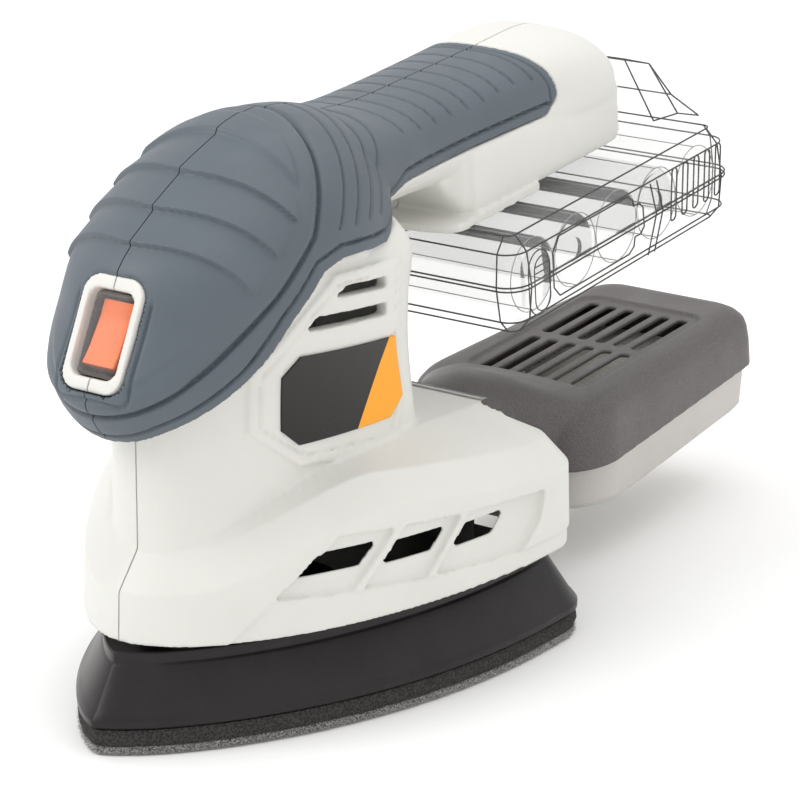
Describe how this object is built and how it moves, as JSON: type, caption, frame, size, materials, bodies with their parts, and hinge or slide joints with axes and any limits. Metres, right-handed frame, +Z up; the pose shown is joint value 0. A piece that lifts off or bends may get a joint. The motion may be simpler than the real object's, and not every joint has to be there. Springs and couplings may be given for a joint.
{
  "type": "cordless orbital sander",
  "caption": "Cordless palm sander with an iron-shaped orbiting pad, a domed grip and handle, a slide-on battery under the handle and a dust box at the rear.",
  "frame": {"origin": "on the sanding face, on the seam plane, 20 mm behind the motor axis' foot towards the handle", "axes": "+Z up from the sanding face, +Y from the plate's tip towards the battery end of the handle, X = 0 on the plane where the housing halves meet"},
  "size_m": [0.0972, 0.247, 0.1368],
  "materials": {
    "white_abs": "fine satin, off-white",
    "soft_grip": "soft-touch overmould, blue-grey",
    "label_black": "printed foil, dark, with a plain stripe",
    "rocker_orange": "satin, orange",
    "clear_cover": "clear flexible dust cover",
    "black_plastic": "semi-gloss, black",
    "steel": "plain",
    "zinc": "die-cast zinc alloy",
    "ferrite": "ferrite magnet",
    "rotor_core": "laminations and copper wire",
    "rubber": "moulded black rubber",
    "foam": "dense closed-cell foam",
    "hook_layer": "hook-and-loop pile",
    "lid_grey": "fine sparkle texture, warm grey",
    "tray_clear": "translucent, smoky white",
    "pack_clear": "see-through, nearly colourless",
    "cell_wrap": "light wrap over a metal can",
    "board_green": "solder mask, green",
    "filter_cloth": "pleated filter cloth"
  },
  "bodies": {
    "root": {"housing_left": "white_abs", "housing_right": "white_abs", "grip_left": "soft_grip", "grip_right": "soft_grip", "label_left": "label_black", "label_right": "label_black", "switch_body": "black_plastic", "switch_cover": "clear_cover", "motor_can": "steel", "motor_end_cap": "black_plastic", "motor_magnets": "ferrite", "motor_plate": "zinc", "rubber_post_front": "rubber", "rubber_post_left": "rubber", "rubber_post_right": "rubber", "housing_screw_1": "steel", "housing_screw_2": "steel", "housing_screw_3": "steel", "housing_screw_4": "steel", "housing_screw_5": "steel", "port_seal": "rubber", "terminal_block": "black_plastic", "control_board": "board_green"},
    "rocker": {"switch_rocker": "rocker_orange"},
    "rotor": {"rotor_shaft": "rotor_core", "cooling_fan": "black_plastic", "eccentric": "zinc", "plate_screw": "steel"},
    "plate": {"platen": "black_plastic", "foam_pad": "foam", "hook_layer": "hook_layer", "plate_bearing": "steel"},
    "dust_box": {"dust_lid": "lid_grey", "dust_filter": "filter_cloth"},
    "dust_tray": {"dust_tray": "tray_clear"},
    "battery": {"battery_case_lower": "pack_clear", "battery_case_upper": "pack_clear", "battery_cell_1": "cell_wrap", "battery_cell_2": "cell_wrap", "battery_cell_3": "cell_wrap", "battery_cell_4": "cell_wrap", "battery_cell_5": "cell_wrap"},
    "latch_left": {"latch_button_left": "pack_clear"},
    "latch_right": {"latch_button_right": "pack_clear"}
  },
  "joints": [
    {"name": "motor_spin", "type": "hinge", "parent": "root", "child": "rotor", "pos_m": [0, -0.02, 0.05], "axis": [0, 0, 1], "continuous": true},
    {"name": "plate_orbit", "type": "hinge", "parent": "rotor", "child": "plate", "pos_m": [0, -0.0188, 0.02], "axis": [0, 0, 1], "continuous": true},
    {"name": "switch_rock", "type": "hinge", "parent": "root", "child": "rocker", "pos_m": [0, -0.06047, 0.09337], "axis": [1, 0, 0], "range_deg": [0, 16]},
    {"name": "dust_box_pull", "type": "slide", "parent": "root", "child": "dust_box", "axis": [0, 0.9969, 0.0785], "range_m": [0, 0.03]},
    {"name": "tray_release", "type": "slide", "parent": "dust_box", "child": "dust_tray", "axis": [0, 0.0785, -0.9969], "range_m": [0, 0.008]},
    {"name": "battery_slide", "type": "slide", "parent": "root", "child": "battery", "axis": [0, 0.9945, 0.1045], "range_m": [0, 0.06]},
    {"name": "latch_press_left", "type": "slide", "parent": "battery", "child": "latch_left", "axis": [1, 0, 0], "range_m": [0, 0.0015], "stiffness_N_per_m": 400},
    {"name": "latch_press_right", "type": "slide", "parent": "battery", "child": "latch_right", "axis": [-1, 0, 0], "range_m": [0, 0.0015], "stiffness_N_per_m": 400}
  ],
  "couplings": [
    {"joint": "plate_orbit", "follows": "motor_spin", "ratio": -1}
  ]
}
